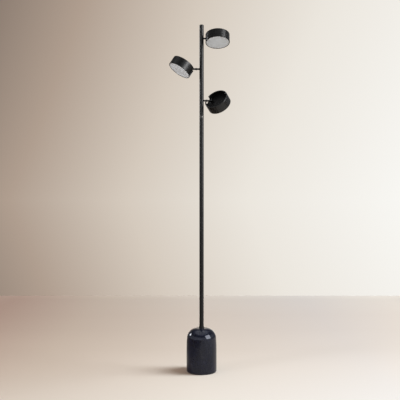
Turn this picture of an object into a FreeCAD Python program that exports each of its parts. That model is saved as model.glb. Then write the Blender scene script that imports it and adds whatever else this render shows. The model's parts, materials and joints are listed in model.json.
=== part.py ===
import FreeCAD, Part
import math
import os
import Sketcher
from FreeCAD import Placement, Rotation, Vector

# Tree floor lamp: a stone foot, a two-piece steel pole and three drum heads.
# Millimetres, +Z up. The origin is the centre of the foot pad's underside.
# The lamp is seen from -Y, with +X to the right.

doc = FreeCAD.newDocument("tree_floor_lamp")
sheet = doc.addObject("Spreadsheet::Sheet", "sizes")

DRIVING = [
    # the foot
    ("foot_radius", 69.3, "outer radius of the stone"),
    ("foot_height", 198.5, "floor to the top of the stone"),
    ("foot_flat", 21.3, "radius of the flat on top"),
    ("shoulder_radius", 45.8, "tight arc of the shoulder"),
    ("shoulder_turn", 84.6, "degrees that the tight arc turns"),
    ("flank_radius", 540, "slow arc below the shoulder"),
    ("foot_chamfer", 2, "bevel round the stone's lower edge"),
    ("recess_radius", 50, "hollow under the stone"),
    ("recess_top", 32, "floor to the hollow's ceiling"),
    ("stone_bore", 6, "radius of the bore up the stone"),
    ("pad_radius", 66, "foot pad"),
    ("pad_thick", 2, "foot pad"),
    ("plate_radius", 46, "steel plate in the hollow"),
    ("plate_thick", 5, "steel plate in the hollow"),
    ("stem_radius", 5, "threaded tube, outside"),
    ("stem_bore", 3.2, "threaded tube, inside"),
    ("stem_foot", 19, "floor to the threaded tube's lower end"),
    ("stem_top", 235, "floor to the threaded tube's upper end"),
    ("foot_nut_thick", 6, "nut under the plate"),
    ("foot_nut_flats", 17, "nut under the plate, across flats"),
    ("inlet_height", 9, "floor to the lead's inlet"),
    ("inlet_radius", 4.6, "hole for the inlet sleeve"),
    ("gland_flange", 7, "inlet sleeve's flange"),
    ("gland_flange_edge", 1.5, "inlet sleeve's flange, before its bevel"),
    ("gland_bevel", 1.2, "inlet sleeve's flange"),
    # the pole
    ("pole_radius", 10, "both tubes, outside"),
    ("pole_wall", 1.5, "both tubes"),
    ("pole_top", 1600, "floor to the top of the cap"),
    ("dome_height", 5.5, "part of the cap above the tube"),
    ("dome_foot", 1, "straight part of the cap above the tube"),
    ("dome_round", 3, "arc round the cap's edge"),
    ("dome_round_in", 1.2, "how far that arc comes in"),
    ("dome_round_up", 2.4, "how far that arc rises"),
    ("cap_plug", 10, "part of the cap inside the tube"),
    ("plug_bevel", 0.6, "lower edge of that plug"),
    ("ring_height", 1170.5, "floor to the lower face of the joint ring"),
    ("ring_tall", 5, "joint ring"),
    ("ring_proud", 0.4, "how far the joint ring stands out"),
    ("spigot_reach", 56, "joiner, past the ring each way"),
    ("spigot_bore", 4, "joiner, inside"),
    ("slip", 0.05, "gap round a part pushed into a tube"),
    ("collar_thick", 1.7, "collar round the pole's foot"),
    ("collar_tall", 9, "collar round the pole's foot"),
    ("collar_bevel", 1.2, "collar round the pole's foot"),
    ("bush_rise", 2, "pole's lower end to the bush"),
    ("bush_tall", 36, "threaded bush in the pole's foot"),
    ("lead_radius", 2.4, "supply lead"),
    ("lead_gap", 0.2, "gap round the lead in its sleeve"),
    ("lead_bend", 9, "bend of the lead inside the foot"),
    ("lead_inset", 4, "side of the foot to the lead's end"),
    ("lead_top", 1548, "floor to the lead's upper end"),
    # the arms, all three alike but for their reach
    ("top_arm_height", 1535.5, "floor to the top arm"),
    ("middle_arm_height", 1394.4, "floor to the middle arm"),
    ("lower_arm_height", 1248.4, "floor to the lower arm"),
    ("short_reach", 45.4, "pole axis to hinge, top and lower arms"),
    ("long_reach", 60.3, "pole axis to hinge, middle arm"),
    ("arm_radius", 4, "arm and stub"),
    ("arm_bore", 2, "arm and stub, inside"),
    ("thread_radius", 3, "stub's thread and spigot"),
    ("stub_sunk", 1, "how far the stub's neck starts inside the pole's wall"),
    ("stub_end", 21, "pole axis to the stub's shoulder"),
    ("spigot_end", 25.5, "pole axis to the stub's spigot end"),
    ("bead_start", 21.3, "pole axis to the bead"),
    ("bead_end", 27.3, "pole axis to the bead's far face"),
    ("bead_waist", 4.3, "bead at its two ends"),
    ("bead_arc", 4.45, "arc that rounds the bead"),
    ("nut_thick", 3, "nut inside the pole"),
    ("nut_flats", 10, "nut inside the pole, across flats"),
    ("nut_start", 3, "pole axis to that nut"),
    ("thread_past", 0.1, "stub's end past that nut"),
    ("run_gap", 0.05, "radial gap of a running fit"),
    # the hinge in each head
    ("eye_radius", 4.4, "flat eye at the arm's end"),
    ("eye_thick", 5, "flat eye at the arm's end"),
    ("eye_neck", 6.3, "end of the round arm to the hinge"),
    ("neck_half", 3, "half the height of the flat between them"),
    ("bore_short", 2, "end of the arm's bore to the end of the round arm"),
    ("wire_way", 3, "length of the slot that lets the wires out"),
    ("wire_way_half", 1.6, "half the width of that slot"),
    ("wire_apart", 0.75, "arm's middle to each wire"),
    ("wire_short", 2.4, "end of the round arm to the wires' end"),
    ("pin_radius", 1.5, "hinge screw"),
    ("pin_head", 3, "hinge screw's head"),
    ("pin_head_tall", 1.5, "hinge screw's head and its nut"),
    ("pin_nut_flats", 5.1, "hinge screw's nut, across flats"),
    ("pin_play", 0.1, "gap between each ear and the head or nut"),
    ("ear_gap", 0.2, "gap between the eye and each ear"),
    ("ear_thick", 3, "ears of the fork"),
    ("ear_radius", 4.5, "ears of the fork"),
    ("turntable_radius", 9, "round base of the fork"),
    ("turntable_thick", 2.2, "round base of the fork"),
    ("post_radius", 5, "hollow post under the fork"),
    ("post_bore", 2.5, "hollow post under the fork"),
    ("post_length", 6.9, "hollow post under the fork"),
    ("post_nut_flats", 14, "nut on the post"),
    ("post_nut_thick", 3.4, "nut on the post"),
    ("free_gap", 0.3, "gap between faces that turn past each other"),
    # the drum of each head, measured from its middle plane
    ("drum_radius", 55.5, "outer radius"),
    ("drum_depth", 42, "front edge to back edge"),
    ("drum_wall", 2, "side wall and floor"),
    ("drum_edge", 0.7, "bevel on the front edge"),
    ("rim_round", 2.8, "rounding of the thick lip on the back edge"),
    ("rim_taper", 3, "height of the slope from the lip to the wall"),
    ("floor_back", 1, "middle plane to the floor's back face, forward"),
    ("hinge_offset", 31.6, "drum axis to hinge"),
    ("hinge_back", 8.9, "middle plane to hinge, backward"),
    ("notch_half", 17, "half the width of the notch for the arm"),
    ("notch_foot", 0.9, "middle plane to the notch's foot, backward"),
    ("notch_round", 8, "notch's lower corners"),
    ("board_radius", 49, "circuit board"),
    ("board_thick", 1.6, "circuit board"),
    ("board_window", 9.5, "hole in the board round the post"),
    ("screw_circle", 30, "three board screws"),
    ("screw_radius", 1.5, "board screws"),
    ("screw_gap", 0.2, "gap round the screws in the board"),
    ("screw_head", 2.75, "board screws"),
    ("screw_head_tall", 1.6, "board screws"),
    ("chip_side", 5, "light sources"),
    ("chip_tall", 0.8, "light sources"),
    ("outer_chips", 44.5, "circle of twelve light sources"),
    ("inner_chips", 14, "circle of six light sources"),
    ("bowl_back", 49.6, "reflector's inner radius at the floor"),
    ("bowl_front", 51.6, "reflector's inner radius in front"),
    ("bowl_thick", 1, "reflector"),
    ("disc_radius", 52.7, "frosted disc"),
    ("disc_back", 17.5, "middle plane to the disc's back face"),
    ("disc_thick", 2.7, "frosted disc"),
    ("disc_bevel", 0.3, "frosted disc"),
    ("bezel_lip", 52, "bezel's inner radius"),
    ("bezel_skirt", 0.65, "bezel's skirt"),
    ("bezel_deep", 7, "bezel's skirt"),
    ("wire_radius", 0.65, "each insulated wire"),
    ("wire_side", 0.8, "hinge's middle to each wire to the board"),
    ("wire_above", 4, "board's face to the wires' upper end"),
    ("wire_below", 6, "board's face to the lowest run of the wires"),
    ("wire_along", 12.5, "post to where the wires meet the board"),
    ("wire_bend", 2.6, "bends of those wires"),
]

PAST = 1.0          # how far a cutting solid runs past the face that it cuts
WELL_PAST = 5.0     # the same for the long pockets
OVERLAP = 0.5       # how far two solids reach into each other before they are joined

# Each head: side (+1 right, -1 left), swivel of the arm about its own axis, tilt of the
# head towards its outer side and turn of the head on its post, in degrees as photographed.
HEADS = {
    "top": {"side": 1, "swivel": -16.5, "tilt": 0.3, "turn": -27.5, "reach": "short_reach"},
    "middle": {"side": -1, "swivel": 12.5, "tilt": 32.0, "turn": 5.0, "reach": "long_reach"},
    "lower": {"side": 1, "swivel": 47.9, "tilt": 26.0, "turn": -27.3, "reach": "short_reach"},
}


class Size:
    """A size that carries its number and the sheet formula that gives it."""

    def __init__(self, number, formula):
        self.number = float(number)
        self.formula = formula

    def __add__(self, other):
        other = as_size(other)
        return Size(self.number + other.number, f"({self.formula} + {other.formula})")

    def __sub__(self, other):
        other = as_size(other)
        return Size(self.number - other.number, f"({self.formula} - {other.formula})")

    def __mul__(self, other):
        other = as_size(other)
        return Size(self.number * other.number, f"({self.formula} * {other.formula})")

    def __truediv__(self, other):
        other = as_size(other)
        return Size(self.number / other.number, f"({self.formula} / {other.formula})")

    def __neg__(self):
        return Size(-self.number, f"(0 - {self.formula})")

    def sine(self):
        return Size(math.sin(math.radians(self.number)), f"sin({self.formula} * 1deg)")

    def cosine(self):
        return Size(math.cos(math.radians(self.number)), f"cos({self.formula} * 1deg)")


def as_size(value):
    return value if isinstance(value, Size) else Size(value, repr(float(value)))


def fill_sheet():
    for row, (alias, number, note) in enumerate(DRIVING, start=1):
        sheet.set(f"A{row}", alias)
        sheet.set(f"B{row}", str(number))
        sheet.setAlias(f"B{row}", alias)
        sheet.set(f"C{row}", note)
    doc.recompute()


NUMBERS = {alias: number for alias, number, note in DRIVING}


def size(alias):
    return Size(NUMBERS[alias], f"sizes.{alias}")


def bind(thing, **sizes_by_property):
    for name, value in sizes_by_property.items():
        value = as_size(value)
        setattr(thing, name, value.number)
        thing.setExpression(name, value.formula)


# ---------------------------------------------------------------- frames

def moved(x=0.0, y=0.0, z=0.0):
    return Placement(Vector(x, y, z), Rotation())


def turned_about(axis, degrees):
    return Placement(Vector(), Rotation(axis, degrees))


X_AXIS, Y_AXIS, Z_AXIS = Vector(1, 0, 0), Vector(0, 1, 0), Vector(0, 0, 1)
WORLD = Placement()
ALONG_X = turned_about(Y_AXIS, 90)      # a piece turned about Z lies along +X
ALONG_Y = turned_about(X_AXIS, -90)     # a piece turned about Z lies along +Y


def head_frames(name):
    """Frames of one head: stub, arm (on the pole axis), fork and head (at the hinge), drum."""
    head = HEADS[name]
    height = size(f"{name}_arm_height").number
    stub = moved(z=height) * turned_about(Z_AXIS, 0 if head["side"] > 0 else 180)
    arm = stub * turned_about(X_AXIS, head["swivel"])
    fork = arm * moved(x=size(head["reach"]).number) * turned_about(Y_AXIS, -head["tilt"])
    pivot = fork * turned_about(Z_AXIS, head["turn"])
    drum = pivot * moved(x=size("hinge_offset").number, z=-size("hinge_back").number)
    return {"stub": stub, "arm": arm, "fork": fork, "pivot": pivot, "drum": drum}


# ---------------------------------------------------------------- ways of making a piece

PIECES = []
POCKETS = []        # name, volume before, volume after


def keep(thing, label, frame=WORLD):
    thing.Label = label
    thing.Placement = frame
    PIECES.append(thing)
    return thing


def origin_plane(body, role):
    return next(plane for plane in body.Origin.OriginFeatures if plane.Role == role)


def new_sketch(body, name, role):
    sketch = body.newObject("Sketcher::SketchObject", name)
    sketch.AttachmentSupport = [(origin_plane(body, role), "")]
    sketch.MapMode = "FlatFace"
    return sketch


def arc_through(start, end, radius):
    """Arc from start to end; a positive radius bulges to the right of the way."""
    chord = end - start
    half = chord.Length / 2
    rise = math.sqrt(max(radius * radius - half * half, 0.0))
    left = Vector(-chord.y, chord.x, 0).normalize()
    centre = (start + end) * 0.5 + left * math.copysign(rise, radius)
    first, last = (start, end) if radius > 0 else (end, start)
    angles = [math.atan2(p.y - centre.y, p.x - centre.x) for p in (first, last)]
    if angles[1] < angles[0]:
        angles[1] += 2 * math.pi
    circle = Part.Circle(centre, Z_AXIS, abs(radius))
    return Part.ArcOfCircle(circle, *angles)


def draw_outline(sketch, corners):
    """Closed outline; each corner is (across, up) or (across, up, radius of the arc to it)."""
    points = [Vector(as_size(c[0]).number, as_size(c[1]).number, 0) for c in corners]
    starts, ends = [], []
    for number, corner in enumerate(corners):
        start, end = points[number - 1], points[number]
        if len(corner) == 3:
            radius = as_size(corner[2])
            edge = sketch.addGeometry(arc_through(start, end, radius.number), False)
            forward = radius.number > 0
            starts.append((edge, 1 if forward else 2))
            ends.append((edge, 2 if forward else 1))
            ring = sketch.addConstraint(Sketcher.Constraint("Radius", edge, abs(radius.number)))
            sketch.setExpression(f"Constraints[{ring}]", (radius if forward else -radius).formula)
        else:
            edge = sketch.addGeometry(Part.LineSegment(start, end), False)
            starts.append((edge, 1))
            ends.append((edge, 2))
    for number, corner in enumerate(corners):
        after = (number + 1) % len(corners)
        sketch.addConstraint(Sketcher.Constraint("Coincident", *ends[number], *starts[after]))
        for kind, value in (("DistanceX", corner[0]), ("DistanceY", corner[1])):
            value = as_size(value)
            rule = Sketcher.Constraint(kind, -1, 1, *ends[number], value.number)
            place = sketch.addConstraint(rule)
            sketch.setExpression(f"Constraints[{place}]", value.formula)


def turned_blank(label, corners):
    """A body of revolution about its own Z; corners are (radius, height)."""
    body = doc.addObject("PartDesign::Body", label)
    sketch = new_sketch(body, label + "_outline", "XZ_Plane")
    draw_outline(sketch, corners)
    spin = body.newObject("PartDesign::Revolution", label + "_turned")
    spin.Profile = sketch
    spin.ReferenceAxis = (sketch, ["V_Axis"])
    spin.Angle = 360
    return body


def turned(label, corners, frame=WORLD):
    return keep(turned_blank(label, corners), label, frame)


def tube(label, inner, outer, low, high, frame=WORLD):
    return turned(label, [(inner, low), (outer, low), (outer, high), (inner, high)], frame)


def drilled(body, name, role, circles, reach, reverse):
    """Round holes from one of the body's own planes; circles are (across, up, radius)."""
    sketch = new_sketch(body, name + "_circles", role)
    for across, up, radius in circles:
        across, up, radius = as_size(across), as_size(up), as_size(radius)
        centre = Vector(across.number, up.number, 0)
        edge = sketch.addGeometry(Part.Circle(centre, Z_AXIS, radius.number), False)
        rules = (("DistanceX", across), ("DistanceY", up))
        for kind, value in rules:
            place = sketch.addConstraint(Sketcher.Constraint(kind, -1, 1, edge, 3, value.number))
            sketch.setExpression(f"Constraints[{place}]", value.formula)
        ring = sketch.addConstraint(Sketcher.Constraint("Radius", edge, radius.number))
        sketch.setExpression(f"Constraints[{ring}]", radius.formula)
    return pocketed(body, name, sketch, reach, reverse)


def pocketed(body, name, sketch, reach, reverse):
    pocket = body.newObject("PartDesign::Pocket", name)
    pocket.Profile = sketch
    pocket.Reversed = reverse
    bind(pocket, Length=reach)
    before = body.Shape.Volume if not body.Shape.isNull() else 0
    doc.recompute()
    POCKETS.append((name, before, body.Shape.Volume))
    return pocket


def cylinder(radius, low, high, frame=WORLD):
    """A plain round bar about its frame's Z, from low to high."""
    bar = doc.addObject("Part::Cylinder", "bar")
    bind(bar, Radius=radius, Height=as_size(high) - low)
    bar.Placement = frame * moved(z=as_size(low).number)
    return bar


def block(low, high):
    """A plain block between two corners."""
    bar = doc.addObject("Part::Box", "block")
    low, high = [as_size(v) for v in low], [as_size(v) for v in high]
    bind(bar, Length=high[0] - low[0], Width=high[1] - low[1], Height=high[2] - low[2])
    bar.Placement = moved(*[v.number for v in low])
    return bar


def hexagon(flats, low, high, frame=WORLD):
    bar = doc.addObject("Part::Prism", "hexagon")
    bar.Polygon = 6
    bind(bar, Circumradius=as_size(flats) * (1 / math.sqrt(3)), Height=as_size(high) - low)
    bar.Placement = frame * moved(z=as_size(low).number)
    return bar


def fused(*things):
    joined = doc.addObject("Part::MultiFuse", "joined")
    joined.Shapes = list(things)
    joined.Refine = True
    return joined


def cut(base, *tools):
    rest = doc.addObject("Part::Cut", "rest")
    rest.Base = base
    rest.Tool = tools[0] if len(tools) == 1 else fused(*tools)
    return rest


def group(label, things, frame=WORLD):
    """Several separate solids that share one name."""
    together = doc.addObject("Part::Compound", label)
    together.Links = list(things)
    return keep(together, label, frame)


def round_rod(label, paths, radius, frame=WORLD):
    """Round rods along wires made of straight runs and tangent arcs."""
    solids = []
    for path in paths:
        first = path.Edges[0]
        ring = Part.Circle(first.valueAt(0), first.tangentAt(0), radius)
        rod = path.makePipeShell([Part.Wire(ring.toShape())], True, False)
        wanted = math.pi * radius ** 2 * path.Length
        print(f"{label}: {path.Length:.1f} mm long, volume {rod.Volume / wanted:.4f} of section x length")
        solids.append(rod)
    shape = solids[0] if len(solids) == 1 else Part.makeCompound(solids)
    piece = doc.addObject("Part::Feature", label)
    piece.Shape = shape
    return keep(piece, label, frame)


def bent_path(points, radius):
    """Straight runs between the points, each corner rounded by an arc of that radius."""
    edges = []
    last = points[0]
    for before, corner, after in zip(points, points[1:], points[2:]):
        incoming = (before - corner).normalize()
        outgoing = (after - corner).normalize()
        half = incoming.getAngle(outgoing) / 2
        back = radius / math.tan(half)
        start, end = corner + incoming * back, corner + outgoing * back
        middle_way = (incoming + outgoing).normalize()
        middle = corner + middle_way * (radius / math.sin(half) - radius)
        edges.append(Part.LineSegment(last, start).toShape())
        edges.append(Part.Arc(start, middle, end).toShape())
        last = end
    edges.append(Part.LineSegment(last, points[-1]).toShape())
    return Part.Wire(edges)


# ---------------------------------------------------------------- the foot

def marble_base():
    low, high = size("pad_thick"), size("foot_height")
    outside, bevel = size("foot_radius"), size("foot_chamfer")
    flat, tight, slow = size("foot_flat"), size("shoulder_radius"), size("flank_radius")
    turn = size("shoulder_turn")
    shoulder_across = flat + tight * turn.sine()
    shoulder_up = high - tight + tight * turn.cosine()
    stone = turned("marble_base", [
        (size("stone_bore"), high),
        (size("stone_bore"), size("recess_top")),
        (size("recess_radius"), size("recess_top")),
        (size("recess_radius"), low),
        (outside - bevel, low),
        (outside, low + bevel),
        (outside, shoulder_up - slow * turn.cosine()),
        (shoulder_across, shoulder_up, slow),
        (flat, high, tight),
    ])
    drilled(stone, "inlet_hole", "XZ_Plane", [(0, size("inlet_height"), size("inlet_radius"))],
            outside + WELL_PAST, False)


def foot_parts():
    turned("foot_pad", [(0, 0), (size("pad_radius"), 0), (size("pad_radius"), size("pad_thick")),
                        (0, size("pad_thick"))])
    ceiling, thick = size("recess_top"), size("plate_thick")
    tube("base_plate", size("stone_bore"), size("plate_radius"), ceiling - thick, ceiling)
    tube("threaded_tube", size("stem_bore"), size("stem_radius"), size("stem_foot"), size("stem_top"))
    under = ceiling - thick
    nut = hexagon(size("foot_nut_flats"), under - size("foot_nut_thick"), under)
    hole = cylinder(size("stem_radius"), under - size("foot_nut_thick") - PAST, under + PAST)
    keep(cut(nut, hole), "base_nut")


def cord_gland():
    """The inlet sleeve at the back of the foot."""
    start = size("recess_radius") + size("slip")
    seat = size("foot_radius") + size("slip")
    bore = size("lead_radius") + size("lead_gap")
    sleeve = size("inlet_radius") - size("slip")
    flange, bevel = size("gland_flange"), size("gland_bevel")
    edge = seat + size("gland_flange_edge")
    turned("cord_gland", [
        (bore, start), (sleeve, start), (sleeve, seat), (flange, seat),
        (flange, edge), (flange - bevel, edge + bevel), (bore, edge + bevel),
    ], moved(z=size("inlet_height").number) * ALONG_Y)


def supply_lead():
    low, high = size("inlet_height").number, size("lead_top").number
    outer = (size("foot_radius") - size("lead_inset")).number
    corners = [Vector(0, outer, low), Vector(0, 0, low), Vector(0, 0, high)]
    path = bent_path(corners, size("lead_bend").number)
    round_rod("supply_lead", [path], size("lead_radius").number)


# ---------------------------------------------------------------- the pole

def pole_parts():
    outer, wall, gap = size("pole_radius"), size("pole_wall"), size("slip")
    inner = outer - wall
    foot, ring = size("foot_height"), size("ring_height")
    above = ring + size("ring_tall")
    shoulder = size("pole_top") - size("dome_height")
    tube("lower_pole", inner, outer, foot, ring)
    bush = foot + size("bush_rise")
    tube("pole_foot_bush", size("stem_radius"), inner - gap, bush, bush + size("bush_tall"))
    tube("joint_ring", inner, outer + size("ring_proud"), ring, above)
    tube("pole_joiner", size("spigot_bore"), inner - gap, ring - size("spigot_reach"),
         above + size("spigot_reach"))
    upper = tube("upper_pole", inner, outer, above, shoulder)
    for name, head in HEADS.items():
        drilled(upper, name + "_arm_hole", "YZ_Plane",
                [(0, size(f"{name}_arm_height"), size("thread_radius") + size("run_gap"))],
                outer + WELL_PAST, head["side"] > 0)


def pole_cap():
    outer, shoulder = size("pole_radius"), size("pole_top") - size("dome_height")
    plug = outer - size("pole_wall") - size("slip")
    low, bevel = shoulder - size("cap_plug"), size("plug_bevel")
    edge = shoulder + size("dome_foot")
    rim, rim_height = outer - size("dome_round_in"), edge + size("dome_round_up")
    crown = size("pole_top") - rim_height
    dome = (rim * rim + crown * crown) / (crown * 2)
    turned("pole_cap", [
        (0, low), (plug - bevel, low), (plug, low + bevel), (plug, shoulder), (outer, shoulder),
        (outer, edge), (rim, rim_height, size("dome_round")), (0, size("pole_top"), dome),
    ])


def pole_collar():
    inside, bevel = size("pole_radius") + size("slip"), size("collar_bevel")
    outside = inside + size("collar_thick")
    low = size("foot_height")
    high = low + size("collar_tall")
    turned("pole_collar", [
        (inside, low), (outside, low), (outside, high - bevel), (outside - bevel, high), (inside, high),
    ])


# ---------------------------------------------------------------- one arm

def arm_stub(name, frame):
    thread, bore, neck = size("thread_radius"), size("arm_bore"), size("arm_radius")
    start, sunk = size("nut_start") - size("thread_past"), size("pole_radius") - size("stub_sunk")
    blank = turned_blank(name + "_stub_blank", [
        (bore, start), (thread, start), (thread, sunk), (neck, sunk), (neck, size("stub_end")),
        (thread, size("stub_end")), (thread, size("spigot_end")), (bore, size("spigot_end")),
    ])
    across_pole = cylinder(size("pole_radius"), -(neck * 2), neck * 2, ALONG_X)
    socket = cylinder(thread, 0, size("pole_radius") + PAST)
    keep(cut(blank, cut(across_pole, socket)), name + "_arm_stub", frame * ALONG_X)


def stub_nuts(frames_by_name):
    nuts = []
    for name, frames in frames_by_name.items():
        place = frames["stub"] * ALONG_X
        low, high = size("nut_start"), size("nut_start") + size("nut_thick")
        nut = hexagon(size("nut_flats"), low, high, place)
        hole = cylinder(size("thread_radius"), low - PAST, high + PAST, place)
        nuts.append(cut(nut, hole))
    group("stub_nuts", nuts)


def swivel_collar(name, frame):
    bore = size("thread_radius") + size("run_gap")
    low, high, waist = size("bead_start"), size("bead_end"), size("bead_waist")
    turned(name + "_swivel_collar", [
        (bore, low), (waist, low), (waist, high, size("bead_arc")), (bore, high),
    ], frame * ALONG_X)


def arm(name, frame):
    reach = size(HEADS[name]["reach"])
    radius, bore = size("arm_radius"), size("arm_bore")
    tenon = size("thread_radius") + size("run_gap")
    start, shoulder = size("bead_end"), reach - size("eye_neck")
    bar = cylinder(radius, start, shoulder, ALONG_X)
    root = cylinder(tenon, size("spigot_end") + size("free_gap"), start, ALONG_X)
    hinge = moved(x=reach.number) * ALONG_Y
    half, deep = size("eye_thick") * 0.5, size("neck_half")
    neck = block((shoulder - OVERLAP, -half, -deep), (reach, half, deep))
    eye = cylinder(size("eye_radius"), -half, half, hinge)
    bore_end, side = shoulder - size("bore_short"), size("wire_way_half")
    hollow = cylinder(bore, start - WELL_PAST, bore_end, ALONG_X)
    wire_way = block((bore_end - size("wire_way"), -side, -radius - PAST), (bore_end, side, 0))
    pin_hole = cylinder(size("pin_radius") + size("run_gap"), -half - PAST, half + PAST, hinge)
    body = cut(fused(bar, root, neck, eye), hollow, wire_way, pin_hole)
    keep(body, name + "_arm", frame)


def arm_wires(name, frame):
    end = size(HEADS[name]["reach"]) - size("eye_neck") - size("wire_short")
    wires = []
    for side in (-size("wire_apart"), size("wire_apart")):
        place = moved(y=side.number) * ALONG_X
        wires.append(cylinder(size("wire_radius"), size("nut_start"), end, place))
    group(name + "_arm_wires", wires, frame)


# ---------------------------------------------------------------- the fork and its screws

def fork_heights():
    """Heights on the post, from the hinge: floor's back face, turntable, floor's front face."""
    back = -(size("hinge_back") + size("floor_back"))
    low = back + size("free_gap")
    return back, low, low + size("turntable_thick"), back - size("drum_wall")


def tilt_fork(name, frame):
    back, low, table, front = fork_heights()
    end = low - size("post_length")
    inside = size("eye_thick") * 0.5 + size("ear_gap")
    outside = inside + size("ear_thick")
    ears, holes = [], []
    for near, far in ((inside, outside), (-outside, -inside)):
        side = size("ear_radius")
        ears.append(block((-side, near, low + OVERLAP), (side, far, 0)))
        ears.append(cylinder(side, near, far, ALONG_Y))
        holes.append(cylinder(size("pin_radius"), near - PAST, far + PAST, ALONG_Y))
    disc = cylinder(size("turntable_radius"), low, table)
    post = cylinder(size("post_radius"), end, low + OVERLAP)
    bore = cylinder(size("post_bore"), end - PAST, table + PAST)
    keep(cut(fused(disc, post, *ears), bore, *holes), name + "_tilt_fork", frame)


def tilt_screw(name, frame):
    """The hinge screw with its round head at one ear and its nut at the other."""
    near = size("eye_thick") * 0.5 + size("ear_gap") + size("ear_thick") + size("pin_play")
    far = near + size("pin_head_tall")
    shank = cylinder(size("pin_radius"), -far, near, ALONG_Y)
    head = cylinder(size("pin_head"), near, far, ALONG_Y)
    nut = hexagon(size("pin_nut_flats"), -far, -near, ALONG_Y)
    thread = cylinder(size("pin_radius"), -far - PAST, -near + PAST, ALONG_Y)
    group(name + "_tilt_screw", [fused(shank, head), cut(nut, thread)], frame)


def turn_nut(name, frame):
    """The nut that holds the drum's floor on the fork's post."""
    back, low, table, front = fork_heights()
    top = front - size("free_gap")
    under = top - size("post_nut_thick")
    blank = hexagon(size("post_nut_flats"), under, top)
    hole = cylinder(size("post_radius"), under - PAST, top + PAST)
    keep(cut(blank, hole), name + "_turn_nut", frame)


# ---------------------------------------------------------------- one drum

def screw_places():
    return [math.radians(degrees) for degrees in (0, 120, 240)]


def round_about(circle, angle):
    circle = as_size(circle)
    return circle * math.cos(angle), circle * math.sin(angle)


def head_shell(name, frame):
    outer, wall, bevel = size("drum_radius"), size("drum_wall"), size("drum_edge")
    inner, half = outer - wall, size("drum_depth") * 0.5
    back = -size("floor_back")
    front = back - wall
    lip = size("rim_round")
    brow = half - lip
    shell = turned(name + "_head_shell", [
        (0, front), (inner, front), (inner, -half), (outer - bevel, -half), (outer, -half + bevel),
        (outer, brow), (outer - lip, half, lip), (outer - lip * 2, brow, lip),
        (inner, brow - size("rim_taper")), (inner, back), (0, back),
    ], frame)
    notch = new_sketch(shell, name + "_notch_outline", "YZ_Plane")
    wide, foot, corner = size("notch_half"), size("notch_foot"), size("notch_round")
    above = half + WELL_PAST
    draw_outline(notch, [
        (-wide + corner, foot, corner), (wide - corner, foot), (wide, foot + corner, corner),
        (wide, above), (-wide, above), (-wide, foot + corner),
    ])
    pocketed(shell, name + "_notch", notch, outer + WELL_PAST, False)
    holes = [(-size("hinge_offset"), 0, size("post_radius") + size("run_gap"))]
    for angle in screw_places():
        holes.append((*round_about(size("screw_circle"), angle), size("screw_radius")))
    drilled(shell, name + "_floor_holes", "XY_Plane", holes, size("floor_back") + wall + PAST, False)


def lamp_module(name, frame):
    front = -(size("floor_back") + size("drum_wall"))
    face = front - size("board_thick")
    board = cylinder(size("board_radius"), face, front)
    post = moved(x=-size("hinge_offset").number)
    holes = [cylinder(size("board_window"), face - PAST, front + PAST, post)]
    screws, chips = [], []
    for angle in screw_places():
        across, up = round_about(size("screw_circle"), angle)
        place = moved(across.number, up.number)
        around = size("screw_radius") + size("screw_gap")
        holes.append(cylinder(around, face - PAST, front + PAST, place))
        shank = cylinder(size("screw_radius"), face - OVERLAP, front + size("drum_wall"), place)
        head = cylinder(size("screw_head"), face - size("screw_head_tall"), face, place)
        screws.append(fused(shank, head))
    keep(cut(board, *holes), name + "_led_board", frame)
    group(name + "_board_screws", screws, frame)
    half = size("chip_side") * 0.5
    for circle, count in ((size("outer_chips"), 12), (size("inner_chips"), 6)):
        for number in range(count):
            chip = block((circle - half, -half, face - size("chip_tall")), (circle + half, half, face))
            chip.Placement = turned_about(Z_AXIS, 360 / count * (number + 0.5)) * chip.Placement
            chips.append(chip)
    group(name + "_led_chips", chips, frame)


def light_parts(name, frame):
    floor = -(size("floor_back") + size("drum_wall"))
    back, wide, thick = size("bowl_back"), size("bowl_front"), size("bowl_thick")
    disc = -size("disc_back")
    face = disc - size("disc_thick")
    turned(name + "_reflector", [
        (back, floor), (back + thick, floor), (wide + thick, disc), (wide, disc),
    ], frame)
    outside, bevel = size("disc_radius"), size("disc_bevel")
    turned(name + "_diffuser", [
        (0, face), (outside - bevel, face), (outside, face + bevel), (outside, disc), (0, disc),
    ], frame)
    lip, edge = size("bezel_lip"), -size("drum_depth") * 0.5
    rim = size("drum_radius") - size("drum_wall") - size("slip")
    skirt, end = rim - size("bezel_skirt"), edge + size("bezel_deep")
    turned(name + "_bezel", [
        (lip, edge), (rim, edge), (rim, end), (skirt, end), (skirt, face), (lip, face),
    ], frame)


def head_wires(name, frame):
    """Two wires down the hollow post and over to the board, in the frame of the hinge."""
    face = size("hinge_back") + size("floor_back") + size("drum_wall") + size("board_thick")
    board, along = -face.number, size("wire_along").number
    high, low = board + size("wire_above").number, board - size("wire_below").number
    paths = []
    for side in (-size("wire_side").number, size("wire_side").number):
        points = [Vector(0, side, high), Vector(0, side, low), Vector(along, side, low),
                  Vector(along, side, board)]
        paths.append(bent_path(points, size("wire_bend").number))
    round_rod(name + "_head_wires", paths, size("wire_radius").number, frame)


def build():
    fill_sheet()
    marble_base()
    foot_parts()
    cord_gland()
    supply_lead()
    pole_parts()
    pole_cap()
    pole_collar()
    frames_by_name = {name: head_frames(name) for name in HEADS}
    stub_nuts(frames_by_name)
    for name, frames in frames_by_name.items():
        arm_stub(name, frames["stub"])
        swivel_collar(name, frames["arm"])
        arm(name, frames["arm"])
        arm_wires(name, frames["arm"])
        tilt_fork(name, frames["fork"])
        tilt_screw(name, frames["fork"])
        turn_nut(name, frames["fork"])
        head_shell(name, frames["drum"])
        lamp_module(name, frames["drum"])
        light_parts(name, frames["drum"])
        head_wires(name, frames["pivot"])
    doc.recompute()


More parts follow.
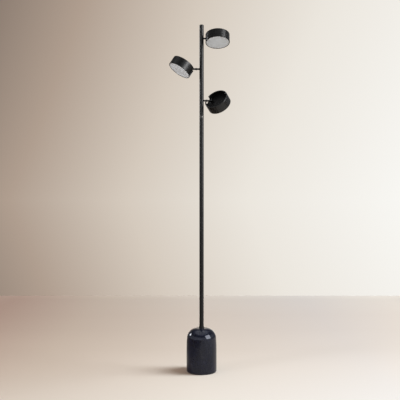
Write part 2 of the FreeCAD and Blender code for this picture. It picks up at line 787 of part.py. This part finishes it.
def check_and_write():
    for name, before, after in POCKETS:
        assert before == 0 or after < before, f"{name} cuts nothing"
    for thing in doc.Objects:
        assert not {"Invalid", "Error"} & set(thing.State), f"{thing.Label} failed: {thing.State}"
    os.makedirs("parts", exist_ok=True)
    for piece in PIECES:
        shape = piece.Shape
        assert not shape.isNull() and shape.isValid(), f"{piece.Label} has no valid shape"
        shape.exportStep(f"parts/{piece.Label}.step")
        print(f"{piece.Label}: {len(shape.Solids)} solid(s), {shape.Volume / 1000:.2f} cm3")
    print(len(PIECES), "pieces")


build()
check_and_write()
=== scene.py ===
# %% [markdown]
# # A tree floor lamp
# The real lamp is a black stone foot, a slim satin black pole in two lengths, and three shallow
# drums on short arms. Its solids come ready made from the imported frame, already in their places,
# so this lesson is about finishes, edges and light. We load the frame first and keep its box,
# because nothing that we add may make the lamp any bigger.

# %% Load the lamp
import json
import math
import bpy
from mathutils import Matrix, Vector


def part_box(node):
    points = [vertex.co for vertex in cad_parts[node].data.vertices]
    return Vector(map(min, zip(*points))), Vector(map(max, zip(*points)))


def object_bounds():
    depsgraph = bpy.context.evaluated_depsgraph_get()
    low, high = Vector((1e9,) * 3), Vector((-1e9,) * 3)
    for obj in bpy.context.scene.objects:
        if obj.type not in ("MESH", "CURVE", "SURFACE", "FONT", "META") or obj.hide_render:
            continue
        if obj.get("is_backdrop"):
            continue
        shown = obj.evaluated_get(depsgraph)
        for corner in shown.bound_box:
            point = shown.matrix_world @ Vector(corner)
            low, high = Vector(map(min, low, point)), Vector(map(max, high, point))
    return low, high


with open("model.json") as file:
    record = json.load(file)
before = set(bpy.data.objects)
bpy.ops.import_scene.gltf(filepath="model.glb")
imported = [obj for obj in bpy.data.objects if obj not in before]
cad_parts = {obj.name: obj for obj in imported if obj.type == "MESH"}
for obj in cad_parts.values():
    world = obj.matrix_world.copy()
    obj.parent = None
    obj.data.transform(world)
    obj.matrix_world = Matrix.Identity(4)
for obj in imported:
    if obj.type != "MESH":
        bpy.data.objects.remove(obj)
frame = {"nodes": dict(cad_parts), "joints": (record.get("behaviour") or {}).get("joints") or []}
solid_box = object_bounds()
print("lamp", [round(side, 3) for side in solid_box[1] - solid_box[0]], "m,", len(frame["nodes"]), "nodes")

# %% [markdown]
# ## Smooth, but with crisp edges
# A turned tube or drum arrives as many narrow flat strips. The strips should shade as one round
# surface while the real edges stay sharp. Marking everything smooth and letting an angle decide
# which edges stay sharp does both, and it leaves every point where it was.

# %% Shade each node
EDGE_ANGLE = math.radians(32)

for node in frame["nodes"].values():
    node.data.shade_smooth()
    node.data.set_sharp_from_angle(angle=EDGE_ANGLE)
faces = sum(len(node.data.polygons) for node in frame["nodes"].values())
print("shaded", len(frame["nodes"]), "nodes with", faces, "faces")

# %% [markdown]
# ## One finish is one shader
# Every finish is one Principled shader with a few textures in front of it. The textures read
# Object coordinates, which on these nodes are metres in the lamp's own frame, so a noise scale of
# 500 means grain about two millimetres across on the real thing. Wrapping the steps that repeat
# in short helpers keeps each finish readable.

# %% A finish and the place of each point
MM = 0.001
MICRON = 0.001 * MM


def new_finish(name, colour, rough, **sockets):
    """A material with its Principled shader; sockets are the shader's other fixed values."""
    made = bpy.data.materials.new(name)
    made.use_nodes = True
    shader = made.node_tree.nodes["Principled BSDF"]
    shader.inputs["Base Color"].default_value = (*colour, 1.0)
    shader.inputs["Roughness"].default_value = rough
    for socket, value in sockets.items():
        shader.inputs[socket.replace("_", " ")].default_value = value
    return made, made.node_tree, shader


def place_of(tree, stretch=(1, 1, 1), centre=(0, 0, 0), turn=(0, 0, 0)):
    """Object coordinates, seen from a local frame and stretched."""
    coords = tree.nodes.new("ShaderNodeTexCoord")
    mapping = tree.nodes.new("ShaderNodeMapping")
    mapping.vector_type = "TEXTURE"
    mapping.inputs["Location"].default_value = centre
    mapping.inputs["Rotation"].default_value = turn
    mapping.inputs["Scale"].default_value = stretch
    tree.links.new(coords.outputs["Object"], mapping.inputs["Vector"])
    return mapping.outputs["Vector"]


# %% [markdown]
# ## From a texture to a number or a colour
# A noise gives a value near 0.5 at each point. Stretching its middle part gives a number that
# drifts between two limits, which suits roughness. A ramp turns the same value into colours.

# %% Noise, numbers and colours
def noise(tree, place, scale, detail=3.0, rough=0.5, distortion=0.0):
    node = tree.nodes.new("ShaderNodeTexNoise")
    node.inputs["Scale"].default_value = scale
    node.inputs["Detail"].default_value = detail
    node.inputs["Roughness"].default_value = rough
    node.inputs["Distortion"].default_value = distortion
    tree.links.new(place, node.inputs["Vector"])
    return node.outputs["Fac"]


def between(tree, value, low, high, start=0.35, end=0.65):
    """A number that runs from low to high while the value runs from start to end."""
    node = tree.nodes.new("ShaderNodeMapRange")
    for name, number in (("From Min", start), ("From Max", end), ("To Min", low), ("To Max", high)):
        node.inputs[name].default_value = number
    tree.links.new(value, node.inputs["Value"])
    return node.outputs["Result"]


def tones(tree, value, stops):
    """Turns a value into a colour; stops are (position, (r, g, b))."""
    node = tree.nodes.new("ShaderNodeValToRGB")
    ramp = node.color_ramp
    while len(ramp.elements) < len(stops):
        ramp.elements.new(0.5)
    for element, (position, colour) in zip(ramp.elements, stops):
        element.position = position
        element.color = (*colour, 1.0)
    tree.links.new(value, node.inputs["Fac"])
    return node.outputs["Color"]


def shaded(colour, factor):
    """The same colour, darker or lighter, and never over 1."""
    return tuple(min(factor * part, 1.0) for part in colour)


# %% [markdown]
# ## Patches, bumps and dressing
# One colour that multiplies another darkens it in patches. A bump tilts the shading as if a value
# were a height, and leaves the mesh as it is. Last comes putting a finish on the nodes by name,
# where most pieces come three times, once per head.

# %% Patches, bumps and dressing
def multiplied(tree, first, second, amount=None):
    """One colour times another; where amount is 0 the first stays as it is."""
    node = tree.nodes.new("ShaderNodeMix")
    node.data_type = "RGBA"
    node.blend_type = "MULTIPLY"
    node.inputs["Factor"].default_value = 1.0
    if amount:
        tree.links.new(amount, node.inputs["Factor"])
    tree.links.new(first, node.inputs["A"])
    tree.links.new(second, node.inputs["B"])
    return node.outputs["Result"]


def bumps(tree, shader, height, depth, before=None):
    """Raises the surface by depth metres where height is 1, on top of the bumps before it."""
    node = tree.nodes.new("ShaderNodeBump")
    node.inputs["Distance"].default_value = depth
    node.inputs["Strength"].default_value = 1.0
    tree.links.new(height, node.inputs["Height"])
    if before:
        tree.links.new(before, node.inputs["Normal"])
    tree.links.new(node.outputs["Normal"], shader.inputs["Normal"])
    return node.outputs["Normal"]


def dress(finish, *names):
    for name in names:
        node = frame["nodes"][name]
        node.data.materials.clear()
        node.data.materials.append(finish)


HEADS = ("top", "middle", "lower")


def on_each(piece):
    return [f"{head}_{piece}" for head in HEADS]


print("heads:", ", ".join(HEADS))

# %% [markdown]
# ## The foot: polished black stone
# Black marble is not one black. Close up it is a mosaic of dark crystals about two millimetres
# wide, with a few thin paler veins, all under a mirror polish. Voronoi cells give the crystals, a
# noise pinched round its middle value gives veins, and low roughness with tiny waves gives the
# polish.

# %% Polished stone
STONE = (0.005, 0.006, 0.018)
VEIN = (0.07, 0.07, 0.075)
CRYSTALS_PER_METRE = 520

stone, tree, shader = new_finish("polished_black_stone", STONE, 0.1, IOR=1.5,
                                 Specular_Tint=(0.84, 0.87, 1.0, 1.0))
place = place_of(tree)
crystals = tree.nodes.new("ShaderNodeTexVoronoi")
crystals.inputs["Scale"].default_value = CRYSTALS_PER_METRE
tree.links.new(place, crystals.inputs["Vector"])
mosaic = tree.nodes.new("ShaderNodeSeparateColor")
tree.links.new(crystals.outputs["Color"], mosaic.inputs["Color"])
speckle = tones(tree, mosaic.outputs["Red"], [(0.0, (0.002, 0.003, 0.009)), (0.7, (0.0045, 0.006, 0.018)),
                                              (1.0, (0.015, 0.017, 0.034))])
drift = noise(tree, place, 26, detail=6, rough=0.6, distortion=0.6)
clouds = tones(tree, drift, [(0.3, (0.55, 0.55, 0.6)), (0.7, (1.35, 1.33, 1.3))])
cloudy = multiplied(tree, speckle, clouds)

# %% Veins and polish
folds = noise(tree, place, 9, detail=5, rough=0.55, distortion=1.4)
thin_lines = tones(tree, folds, [(0.488, (0, 0, 0)), (0.5, (1, 1, 1)), (0.512, (0, 0, 0))])
veined = tree.nodes.new("ShaderNodeMix")
veined.data_type = "RGBA"
veined.inputs["B"].default_value = (*VEIN, 1)
tree.links.new(between(tree, thin_lines, 0.0, 0.3, start=0.0, end=1.0), veined.inputs["Factor"])
tree.links.new(cloudy, veined.inputs["A"])
tree.links.new(veined.outputs["Result"], shader.inputs["Base Color"])
tree.links.new(between(tree, noise(tree, place, 160, detail=4), 0.06, 0.11), shader.inputs["Roughness"])
bumps(tree, shader, noise(tree, place, 60, detail=2), 30 * MICRON)
dress(stone, "marble_base")
print("stone:", len(tree.nodes), "nodes in its material")

# %% [markdown]
# ## The pole and arms: satin black paint
# Powder paint is sprayed on dry and melts into a skin with a faint orange peel, so its highlights
# are broad and a little broken. A fine noise bump makes the peel, a slower noise lets the gloss
# drift, and a slight change of tone keeps long tubes from looking like plain plastic. The peel is
# kept to a micron or two, because a deeper bump that is finer than a pixel renders as speckle.

# %% Satin paint
PEEL = 1.5 * MICRON


def satin_paint(name, colour, rough):
    made, tree, shader = new_finish(name, colour, rough, Specular_IOR_Level=0.36)
    place = place_of(tree)
    drift = noise(tree, place, 35, detail=4, rough=0.6)
    skin = tones(tree, drift, [(0.3, shaded(colour, 0.8)), (0.7, shaded(colour, 1.25))])
    tree.links.new(skin, shader.inputs["Base Color"])
    tree.links.new(between(tree, drift, rough - 0.05, rough + 0.05), shader.inputs["Roughness"])
    bumps(tree, shader, noise(tree, place, 900, detail=2), PEEL)
    return made


pole_paint = satin_paint("satin_black_pole", (0.0036, 0.0035, 0.0038), 0.34)
dress(pole_paint, "lower_pole", "upper_pole", "pole_cap", "pole_collar", *on_each("arm_stub"))
arm_paint = satin_paint("satin_black_arm", (0.0034, 0.0034, 0.0037), 0.32)
dress(arm_paint, *on_each("swivel_collar"), *on_each("arm"), *on_each("tilt_fork"))
painted = [n for n in frame["nodes"].values() if n.data.materials[0] in (pole_paint, arm_paint)]
print("painted", len(painted), "nodes")

# %% [markdown]
# ## Each drum has a frame of its own
# Each drum is pressed and turned, so under its paint faint rings run round its axis. To draw rings
# we need the drum's own frame: its axis is the axis of the joint that turns it, and its centre is
# the middle of its frosted disc. Its radius, and how far its back stands from the disc, are then
# read off its solid, to a tenth of a millimetre.

# %% Find each drum's frame
def drum_frame(head):
    joint = next(j for j in frame["joints"] if j["name"] == f"{head}_turn")
    axis = Vector(joint["axis"]).normalized()
    low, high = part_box(f"{head}_diffuser")
    centre = (low + high) / 2
    outward = centre - Vector(joint["pos_m"])
    outward = (outward - axis * outward.dot(axis)).normalized()
    turn = Matrix((outward, axis.cross(outward), axis)).transposed()
    shell = frame["nodes"][f"{head}_head_shell"].data
    points = [turn.transposed() @ (corner.co - centre) for corner in shell.vertices]
    radius = round(max(point.xy.length for point in points), 4)
    back = round(max(point.z for point in points), 4)
    return centre, turn, radius, back


drums = {head: drum_frame(head) for head in HEADS}
for head, (centre, turn, radius, back) in drums.items():
    print(head, "drum at", [round(c, 4) for c in centre], "axis", [round(c, 3) for c in turn.col[2]],
          "radius", radius, "back", back)

# %% [markdown]
# ## Dull inside
# Inside the open back the spray hardly reaches, so there the skin is dull up to the rounded lip,
# and outside it shines. One mask says where: it is 1 closer to the axis than the wall and lower
# than the lip, and 0 elsewhere. Two numbers multiplied make such an "and".

# %% Where a drum is dull
DRUM_WALL = 2 * MM
LIP = 5.2 * MM
WALL_BLUR = 0.2 * MM
LIP_BLUR = 1 * MM


def drum_parts(tree, local, radius, back):
    """Distance from the axis, height over the disc, and 1 inside the open back but 0 elsewhere."""
    split = tree.nodes.new("ShaderNodeSeparateXYZ")
    tree.links.new(local, split.inputs["Vector"])
    flat = tree.nodes.new("ShaderNodeCombineXYZ")
    tree.links.new(split.outputs["X"], flat.inputs["X"])
    tree.links.new(split.outputs["Y"], flat.inputs["Y"])
    reach = tree.nodes.new("ShaderNodeVectorMath")
    reach.operation = "LENGTH"
    tree.links.new(flat.outputs["Vector"], reach.inputs[0])
    inside = radius - DRUM_WALL
    lip_foot = back - LIP
    within = between(tree, reach.outputs["Value"], 1.0, 0.0, start=inside - WALL_BLUR, end=inside + WALL_BLUR)
    under = between(tree, split.outputs["Z"], 1.0, 0.0, start=lip_foot, end=lip_foot + LIP_BLUR)
    dull = tree.nodes.new("ShaderNodeMath")
    dull.operation = "MULTIPLY"
    tree.links.new(within, dull.inputs[0])
    tree.links.new(under, dull.inputs[1])
    return reach.outputs["Value"], split.outputs["Z"], dull.outputs["Value"]


# %% [markdown]
# ## The drums: spun, then painted
# The rings are a noise of two numbers only, the distance from the axis and the height, so it runs
# round the drum unchanged. It breaks up the gloss and gives a bump a few microns deep. The paint
# also softens the drum's edges, which catch a thin line of light. A Bevel node gives that: it
# bends the shading near an edge and leaves the mesh as it is.

# %% Spun and painted drums
EDGE_RADIUS = 0.8 * MM
TURNING = 3 * MICRON
SPECULAR_OUTSIDE = 0.46
SPECULAR_INSIDE = 0.22
ROUGHER_INSIDE = 0.3


def drum_paint(head):
    made, tree, shader = new_finish(f"satin_black_{head}_drum", (0.0034, 0.0033, 0.0036), 0.3,
                                    Specular_IOR_Level=SPECULAR_OUTSIDE)
    centre, turn, radius, back = drums[head]
    local = place_of(tree, centre=centre, turn=turn.to_euler())
    reach, height, dull = drum_parts(tree, local, radius, back)
    rings = tree.nodes.new("ShaderNodeCombineXYZ")
    tree.links.new(reach, rings.inputs["X"])
    tree.links.new(height, rings.inputs["Z"])
    turned = noise(tree, rings.outputs["Vector"], 1400, detail=2)
    drift = noise(tree, local, 40, detail=4, rough=0.6)
    skin = tones(tree, drift, [(0.3, (0.0026, 0.0025, 0.0027)), (0.7, (0.0044, 0.0043, 0.0046))])
    tree.links.new(skin, shader.inputs["Base Color"])
    rough = tree.nodes.new("ShaderNodeMath")
    rough.operation = "MULTIPLY_ADD"
    rough.inputs[1].default_value = ROUGHER_INSIDE
    tree.links.new(dull, rough.inputs[0])
    tree.links.new(between(tree, turned, 0.22, 0.3), rough.inputs[2])
    tree.links.new(rough.outputs["Value"], shader.inputs["Roughness"])
    specular = between(tree, dull, SPECULAR_OUTSIDE, SPECULAR_INSIDE, start=0.0, end=1.0)
    tree.links.new(specular, shader.inputs["Specular IOR Level"])
    edges = tree.nodes.new("ShaderNodeBevel")
    edges.inputs["Radius"].default_value = EDGE_RADIUS
    peel = bumps(tree, shader, noise(tree, local, 900, detail=2), PEEL, before=edges.outputs["Normal"])
    bumps(tree, shader, turned, TURNING, before=peel)
    return made


for head in HEADS:
    dress(drum_paint(head), f"{head}_head_shell")
print("drums painted:", ", ".join(HEADS))

# %% [markdown]
# ## The pale faces: frosted acrylic
# The disc under each drum is acrylic with a fine blasted face. It looks even and slightly cool, with
# clouds that are barely there, and a grain that only shows close up. A high roughness spreads what
# it reflects, and a very fine bump stands for the blasting. It is unlit, so nothing glows.

# %% Frosted disc
frost, tree, shader = new_finish("frosted_acrylic", (0.625, 0.684, 0.738), 0.5, IOR=1.49,
                                 Specular_IOR_Level=0.3)
place = place_of(tree)
drift = noise(tree, place, 60, detail=5, rough=0.6)
clouds = tones(tree, drift, [(0.3, (0.615, 0.674, 0.728)), (0.7, (0.635, 0.694, 0.748))])
tree.links.new(clouds, shader.inputs["Base Color"])
tree.links.new(between(tree, noise(tree, place, 700), 0.48, 0.6), shader.inputs["Roughness"])
bumps(tree, shader, noise(tree, place, 2200), 2 * MICRON)
dress(frost, *on_each("diffuser"))
print("frosted:", ", ".join(on_each("diffuser")))

# %% [markdown]
# ## Fine-grained pieces: plastic, rubber, foam and white paint
# The thin ring that keeps each disc in place is moulded plastic, the gland and the lead are rubber,
# and the pad under the foot is felted foam. The reflector's paint and the covers of the wires are
# pale. All are matt and differ in grain, so one helper takes the grain's fineness and its depth.


# %% Moulded and matt pieces
def moulded(name, colour, rough, grain, depth):
    made, tree, shader = new_finish(name, colour, rough)
    texture = noise(tree, place_of(tree), grain, detail=4, rough=0.65)
    skin = tones(tree, texture, [(0.3, shaded(colour, 0.7)), (0.7, shaded(colour, 1.3))])
    tree.links.new(skin, shader.inputs["Base Color"])
    tree.links.new(between(tree, texture, rough - 0.08, rough + 0.08), shader.inputs["Roughness"])
    bumps(tree, shader, texture, depth)
    return made


bezel_black = moulded("moulded_bezel", (0.02, 0.02, 0.021), 0.5, grain=1500, depth=10 * MICRON)
dress(bezel_black, *on_each("bezel"))
rubber = moulded("black_rubber", (0.014, 0.014, 0.015), 0.62, grain=800, depth=10 * MICRON)
dress(rubber, "cord_gland", "supply_lead")
foam = moulded("felted_foam", (0.022, 0.022, 0.024), 0.9, grain=1100, depth=80 * MICRON)
dress(foam, "foot_pad")
reflector_white = moulded("white_reflector", (0.72, 0.72, 0.71), 0.6, grain=500, depth=10 * MICRON)
dress(reflector_white, *on_each("reflector"))
wire_cover = moulded("wire_cover", (0.55, 0.55, 0.53), 0.55, grain=900, depth=10 * MICRON)
dress(wire_cover, *on_each("arm_wires"), *on_each("head_wires"))
matt = (bezel_black, rubber, foam, reflector_white, wire_cover)
print("matt:", ", ".join(finish.name for finish in matt))

# %% [markdown]
# ## Bare metal
# The joint ring in the pole and the fasteners are bare metal. Turning leaves fine rings round the
# part, plating leaves a cloudy sheen, and black oxide leaves a dull dark skin. One helper makes all
# three: a metallic shader whose roughness follows a noise that is squeezed along the lamp's height.


# %% Turned and plated metal
def metal(name, colour, rough, squeeze=1.0):
    made, tree, shader = new_finish(name, colour, rough, Metallic=1.0)
    lines = noise(tree, place_of(tree, stretch=(1, 1, 1 / squeeze)), 500, detail=4, rough=0.6)
    skin = tones(tree, lines, [(0.3, shaded(colour, 0.75)), (0.7, shaded(colour, 1.15))])
    tree.links.new(skin, shader.inputs["Base Color"])
    tree.links.new(between(tree, lines, rough - 0.1, rough + 0.12), shader.inputs["Roughness"])
    bumps(tree, shader, lines, 8 * MICRON)
    return made


turned_steel = metal("turned_steel", (0.14, 0.135, 0.13), 0.34, squeeze=12)
dress(turned_steel, "joint_ring")
zinc_plate = metal("zinc_plate", (0.58, 0.58, 0.56), 0.38)
dress(zinc_plate, "base_plate", "threaded_tube", "base_nut", "pole_foot_bush", "pole_joiner", "stub_nuts",
      *on_each("turn_nut"))
black_oxide = metal("black_oxide", (0.05, 0.05, 0.052), 0.42)
dress(black_oxide, *on_each("tilt_screw"), *on_each("board_screws"))
print("metals:", ", ".join(finish.name for finish in (turned_steel, zinc_plate, black_oxide)))

# %% [markdown]
# ## The light board
# Behind each disc a white board carries small square light sources under yellow phosphor. Neither
# shows behind the disc, but both are part of the lamp and get a finish of their own: a faint
# weave from the board's glass cloth, and grainy phosphor.

# %% Board and light sources
board, tree, shader = new_finish("white_board", (0.8, 0.8, 0.78), 0.35)
weave = tree.nodes.new("ShaderNodeTexWave")
weave.inputs["Scale"].default_value = 600
weave.inputs["Distortion"].default_value = 1.5
tree.links.new(place_of(tree), weave.inputs["Vector"])
threads = weave.outputs["Fac"]
tree.links.new(tones(tree, threads, [(0, (0.74, 0.74, 0.72)), (1, (0.82, 0.82, 0.80))]),
               shader.inputs["Base Color"])
tree.links.new(between(tree, threads, 0.3, 0.42, start=0, end=1), shader.inputs["Roughness"])
bumps(tree, shader, threads, 20 * MICRON)
dress(board, *on_each("led_board"))

phosphor, tree, shader = new_finish("phosphor", (0.86, 0.66, 0.16), 0.3)
grit = noise(tree, place_of(tree), 1800, rough=0.7)
tree.links.new(tones(tree, grit, [(0.3, (0.78, 0.56, 0.10)), (0.7, (0.92, 0.76, 0.24))]),
               shader.inputs["Base Color"])
tree.links.new(between(tree, grit, 0.22, 0.4), shader.inputs["Roughness"])
bumps(tree, shader, grit, 40 * MICRON)
dress(phosphor, *on_each("led_chips"))
bare = [name for name, node in frame["nodes"].items() if not node.data.materials]
print("nodes without a finish:", bare)

# %% [markdown]
# ## The floor
# The lamp stands on a pale floor before a warm wall. The floor is a real surface, so that it holds
# the shadow. It ends where the picture shows the floor's back edge.

# %% Floor surface
FLOOR_BACK = 2.25
FLOOR_SIDE = 9.0
FLOOR_FRONT = 9.0

corners = [(-FLOOR_SIDE, -FLOOR_FRONT, 0), (FLOOR_SIDE, -FLOOR_FRONT, 0), (FLOOR_SIDE, FLOOR_BACK, 0),
           (-FLOOR_SIDE, FLOOR_BACK, 0)]
floor_mesh = bpy.data.meshes.new("studio_floor")
floor_mesh.from_pydata(corners, [], [(0, 1, 2, 3)])
floor = bpy.data.objects.new("studio_floor", floor_mesh)
bpy.context.scene.collection.objects.link(floor)
floor_paint, tree, shader = new_finish("floor_paint", (0.7, 0.62, 0.54), 0.9, Specular_IOR_Level=0.0)
floor_mesh.materials.append(floor_paint)
floor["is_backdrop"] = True
print("floor from", corners[0], "to", corners[2])

# %% [markdown]
# ## The floor's colour and painted shade
# The floor is warm and darker at the left, pale at the right, and a little darker in the middle
# distance. Two ramps give that, with their stops in metres: one from side to side and one into its
# depth. Their colours are multiplied. The side-to-side ramp is painted shade on top of the warm tone:
# it is darkest a metre and a half to the left, away from the light, and darker again far out at the
# right. Polished stone also mirrors the floor, and there the left is darker still: a painted shadow,
# seen only in reflections.


# %% Floor paint
def grey(value):
    return (value, value, value)


def tones_along(tree, axis, stops):
    """A colour that changes along one axis of the floor; stops are (metres, (r, g, b))."""
    start, end = stops[0][0], stops[-1][0]
    share = between(tree, axis, 0.0, 1.0, start=start, end=end)
    return tones(tree, share, [((metres - start) / (end - start), colour) for metres, colour in stops])


axes = tree.nodes.new("ShaderNodeSeparateXYZ")
tree.links.new(place_of(tree), axes.inputs["Vector"])
# painted shade with the floor's warm tone: darkest at the left, away from the light, and darker far out at
# the right
tone_and_shade_across = tones_along(tree, axes.outputs["X"], [
    (-4.32, (0.80, 0.72, 0.66)), (-1.47, (0.645, 0.498, 0.44)), (-0.8, (0.775, 0.689, 0.616)),
    (0.0, (0.865, 0.811, 0.759)), (0.8, (0.82, 0.795, 0.787)), (1.47, (0.885, 0.843, 0.80)),
    (3.84, (0.50, 0.47, 0.44))])
deep = tones_along(tree, axes.outputs["Y"], [
    (-0.5, grey(1.0)), (0.05, (0.92, 0.885, 0.86)), (0.41, (0.84, 0.795, 0.765)),
    (0.90, (0.80, 0.755, 0.73)), (1.40, (0.80, 0.76, 0.74)), (2.06, (0.85, 0.83, 0.82)),
    (FLOOR_BACK, (0.93, 0.92, 0.91))])
# painted shadow, seen only in reflections: for glossy rays the floor's left darkens to 0.35
shadow_in_mirrors = tones_along(tree, axes.outputs["X"], [
    (-0.4, grey(0.35)), (0.0, grey(0.85)), (0.5, grey(0.8))])
path = tree.nodes.new("ShaderNodeLightPath")
floor_colour = multiplied(tree, multiplied(tree, tone_and_shade_across, deep), shadow_in_mirrors, path.outputs["Is Glossy Ray"])
tree.links.new(floor_colour, shader.inputs["Base Color"])
print("floor paint:", len(tree.nodes), "nodes")

# %% [markdown]
# ## The wall
# The wall is the world itself: its colour follows the direction of sight. That colour is painted shade:
# it runs from nearly white at the right to brown at the left, away from the light, and it darkens a
# little away from the horizon, so the same ramp leans.

# %% Wall
LEAN = -0.4

world = bpy.data.worlds.new("studio")
bpy.context.scene.world = world
world.use_nodes = True
tree = world.node_tree
sky = tree.nodes["Background"]
coords = tree.nodes.new("ShaderNodeTexCoord")
way = tree.nodes.new("ShaderNodeSeparateXYZ")
tree.links.new(coords.outputs["Generated"], way.inputs["Vector"])
lifted = tree.nodes.new("ShaderNodeMath")
lifted.operation = "ABSOLUTE"
tree.links.new(way.outputs["Z"], lifted.inputs[0])
leaning = tree.nodes.new("ShaderNodeMath")
leaning.operation = "MULTIPLY_ADD"
leaning.inputs[1].default_value = LEAN
tree.links.new(lifted.outputs["Value"], leaning.inputs[0])
tree.links.new(way.outputs["X"], leaning.inputs[2])
side = between(tree, leaning.outputs["Value"], 0.0, 1.0, start=-0.43, end=0.31)
# painted shade: the wall darkens from nearly white at the right to brown at the left
wall = tones(tree, side, [(0.0, (0.245, 0.19, 0.155)), (0.18, (0.43, 0.34, 0.275)),
                          (0.42, (0.665, 0.59, 0.51)), (0.68, (0.835, 0.795, 0.73)),
                          (1.0, (0.94, 0.93, 0.895))])
tree.links.new(wall, sky.inputs["Color"])
print("wall:", len(tree.nodes), "nodes")

# %% [markdown]
# ## What the lamp mirrors
# Black paint and polished stone are mostly mirrors: their look is the look of what stands round
# them. So reflections see a whole room: pale near the floor and towards the camera, a dark band
# above that, a pale ceiling, and the wall itself straight behind the lamp.

# %% The room in reflections
ROOM = (0.98, 0.99, 1.0)

height = between(tree, way.outputs["Z"], 0.0, 1.0, start=-1.0, end=1.0)
low_part = tones(tree, height, [(0.0, grey(1)), (0.68, grey(1)), (0.77, grey(0.22)), (0.85, grey(0))])
high_part = tones(tree, height, [(0.0, grey(0)), (0.75, grey(0)), (0.82, grey(0.09)), (0.88, grey(0.2)),
                                 (0.935, grey(0.95))])
nearness = between(tree, way.outputs["Y"], 0.24, 0.85, start=0.6, end=-0.6)
strength = tree.nodes.new("ShaderNodeMath")
strength.operation = "MULTIPLY_ADD"
tree.links.new(low_part, strength.inputs[0])
tree.links.new(nearness, strength.inputs[1])
tree.links.new(high_part, strength.inputs[2])
room = tree.nodes.new("ShaderNodeBackground")
room.inputs["Color"].default_value = (*ROOM, 1)
tree.links.new(strength.outputs["Value"], room.inputs["Strength"])
straight_behind = between(tree, way.outputs["Y"], 0.0, 1.0, start=0.86, end=0.97)
mirrored = tree.nodes.new("ShaderNodeMixShader")
tree.links.new(straight_behind, mirrored.inputs["Fac"])
tree.links.new(room.outputs["Background"], mirrored.inputs[1])
tree.links.new(sky.outputs["Background"], mirrored.inputs[2])
print("world with the room:", len(tree.nodes), "nodes")

# %% [markdown]
# ## Soft light, and who sees what
# Rays that only carry soft light see an even warm glow. It fills the shadow, and its warmth is why
# the shadow is brown and not grey. The camera sees the wall, and mirrors see the room.

# %% Fill light
FILL = (1.0, 0.77, 0.61)
FILL_STRENGTH = 0.33

fill = tree.nodes.new("ShaderNodeBackground")
fill.inputs["Color"].default_value = (*FILL, 1)
fill.inputs["Strength"].default_value = FILL_STRENGTH
path = tree.nodes.new("ShaderNodeLightPath")
shiny = tree.nodes.new("ShaderNodeMixShader")
tree.links.new(path.outputs["Is Glossy Ray"], shiny.inputs["Fac"])
tree.links.new(fill.outputs["Background"], shiny.inputs[1])
tree.links.new(mirrored.outputs["Shader"], shiny.inputs[2])
seen = tree.nodes.new("ShaderNodeMixShader")
tree.links.new(path.outputs["Is Camera Ray"], seen.inputs["Fac"])
tree.links.new(shiny.outputs["Shader"], seen.inputs[1])
tree.links.new(sky.outputs["Background"], seen.inputs[2])
tree.links.new(seen.outputs["Shader"], tree.nodes["World Output"].inputs["Surface"])
print("fill light", FILL_STRENGTH)

# %% [markdown]
# ## Lamps of the studio
# Four boxes stand far away, so their light hardly changes from the foot to the heads. Two of them
# only shade. The key, high at the right, throws the foot's short shadow to the left: it is slim, so
# the shadow's long sides stay crisp, and tall, so its end fades. A weak one low at the left front
# lifts the middle disc. The other two only show in mirrors. A wide scrim at the right front is the
# streak down the pole and the patch on the foot's shoulder, and a small box behind at the left is
# the bright dot there.

# %% Soft boxes
AIM = Vector((0, 0, 0.17))
WHITE = (1.0, 1.0, 1.0)


def soft_box(name, azimuth, height, far, wide, tall, watts, tint, seen_in):
    """A box that aims at the foot; azimuth and height are in degrees, from the camera's side
    towards the right and up."""
    light = bpy.data.lights.new(name, "AREA")
    light.shape = "RECTANGLE"
    light.size = wide
    light.size_y = tall
    light.energy = watts
    light.color = tint
    lamp = bpy.data.objects.new(name, light)
    turn, lift = math.radians(azimuth), math.radians(height)
    away = Vector((math.sin(turn) * math.cos(lift), -math.cos(turn) * math.cos(lift), math.sin(lift)))
    lamp.location = AIM + away * far
    lamp.rotation_euler = away.to_track_quat("Z", "Y").to_euler()
    lamp.visible_camera = False
    lamp.visible_diffuse = seen_in == "shade"
    lamp.visible_glossy = seen_in == "gloss"
    bpy.context.scene.collection.objects.link(lamp)
    print(name, "at", [round(c, 2) for c in lamp.location])


soft_box("key_box", azimuth=88, height=50, far=6.0, wide=2.2, tall=4.6, watts=385,
         tint=(0.89, 0.975, 1.0), seen_in="shade")
soft_box("low_box", azimuth=-60, height=6, far=12.0, wide=2.0, tall=2.0, watts=480,
         tint=(0.90, 0.95, 1.0), seen_in="shade")
soft_box("wide_scrim", azimuth=58, height=27, far=8.0, wide=5.6, tall=5.2, watts=600,
         tint=WHITE, seen_in="gloss")
soft_box("rim_box", azimuth=-118, height=21, far=8.0, wide=1.8, tall=1.8, watts=135,
         tint=WHITE, seen_in="gloss")

# %% [markdown]
# ## The camera
# The picture was taken level, from about half the lamp's height. That keeps the pole upright and
# shows the drums from just below or above, each as it hangs.

# %% Camera
EYE = Vector((-0.0072, -2.863, 0.790))
LENS = 55.8
SENSOR = 36
LEVEL = math.radians(90)

camera_data = bpy.data.cameras.new("camera")
camera_data.lens = LENS
camera_data.sensor_width = SENSOR
camera = bpy.data.objects.new("camera", camera_data)
camera.location = EYE
camera.rotation_euler = (LEVEL, 0, 0)
bpy.context.scene.collection.objects.link(camera)
bpy.context.scene.camera = camera
bpy.context.scene.view_settings.view_transform = "Standard"
print("camera at", [round(c, 3) for c in EYE], "with a lens of", LENS, "mm")

# %% [markdown]
# ## Compare and finish
# A finish must not make the lamp bigger. The box of everything that shows is measured again, and how
# much it has grown over the box of the bare solids is printed.

# %% Compare the two boxes and finish
look_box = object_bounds()
grown = (look_box[1] - look_box[0]) - (solid_box[1] - solid_box[0])
print("grown by", [round(side / MM, 2) for side in grown], "mm")
